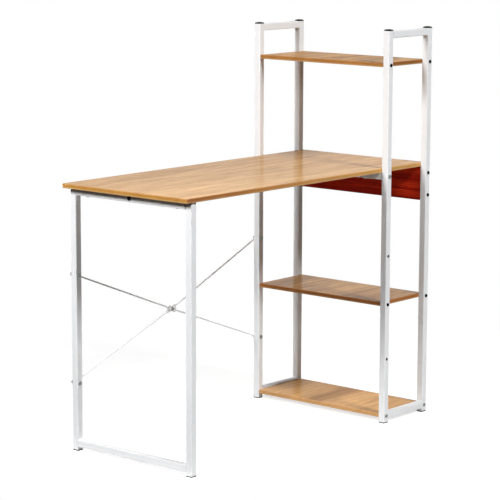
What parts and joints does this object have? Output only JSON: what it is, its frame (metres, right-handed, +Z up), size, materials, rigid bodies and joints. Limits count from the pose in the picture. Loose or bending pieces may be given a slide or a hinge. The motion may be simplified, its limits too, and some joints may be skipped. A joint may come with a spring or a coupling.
{
  "type": "desk with shelves",
  "caption": "Desk of white square tube with an oak laminate top that runs into a narrow shelf tower at one end, and a crossed rod brace at the back.",
  "frame": {"origin": "on the floor, under the middle of the desk's bounding box", "axes": "+Z up, +X along the desk towards the shelf tower, +Y from the sitter to the braced back"},
  "size_m": [1.02, 0.5026, 1.1233],
  "materials": {
    "white_coat": "satin white powder coat on steel tube",
    "oak_face": "light oak laminate, slightly glossy",
    "oak_edge": "golden brown edge banding",
    "red_face": "dark red stained laminate",
    "red_edge": "dark red edge banding",
    "black_plastic": "black moulded plastic",
    "black_steel": "black oxide steel",
    "zinc_steel": "zinc plated steel",
    "bronze_steel": "bronze coloured steel"
  },
  "bodies": {
    "root": {"left_front_leg": "white_coat", "left_rear_leg": "white_coat", "left_top_rail": "white_coat", "left_bottom_rail": "white_coat", "left_frame_welds": "white_coat", "front_left_post": "white_coat", "front_right_post": "white_coat", "rear_left_post": "white_coat", "rear_right_post": "white_coat", "tower_front_top_rail": "white_coat", "tower_front_bottom_rail": "white_coat", "tower_rear_top_rail": "white_coat", "tower_rear_bottom_rail": "white_coat", "tower_welds": "white_coat", "cross_rail": "white_coat", "centre_beam": "white_coat", "rear_brace_falling_rod": "white_coat", "rear_brace_rising_rod": "white_coat", "desktop": "oak_face", "top_shelf": "oak_face", "middle_shelf": "oak_face", "bottom_shelf": "oak_face", "desktop_edge_band": "oak_edge", "top_shelf_edge_band": "oak_edge", "middle_shelf_edge_band": "oak_edge", "bottom_shelf_edge_band": "oak_edge", "stiffening_panel": "red_face", "stiffening_panel_edge_band": "red_edge", "front_left_cap": "black_plastic", "front_right_cap": "black_plastic", "rear_left_cap": "black_plastic", "rear_right_cap": "black_plastic", "front_left_foot": "black_plastic", "front_right_foot": "black_plastic", "rear_left_foot": "black_plastic", "rear_right_foot": "black_plastic", "left_front_foot": "black_plastic", "left_rear_foot": "black_plastic", "top_shelf_screws": "black_steel", "middle_shelf_screws": "black_steel", "panel_screws": "black_steel", "centre_beam_bolts": "black_steel", "rear_brace_end_bolts": "zinc_steel", "rear_brace_centre_bolt": "zinc_steel", "rear_brace_end_nuts": "zinc_steel", "rear_brace_centre_nut": "zinc_steel", "bottom_shelf_screws": "zinc_steel", "cross_rail_bolts": "zinc_steel", "left_rail_screws": "zinc_steel", "cross_rail_screws": "zinc_steel", "cross_rail_end_plugs": "zinc_steel", "centre_beam_end_plugs": "zinc_steel", "desktop_panel_screws": "bronze_steel"}
  },
  "joints": []
}
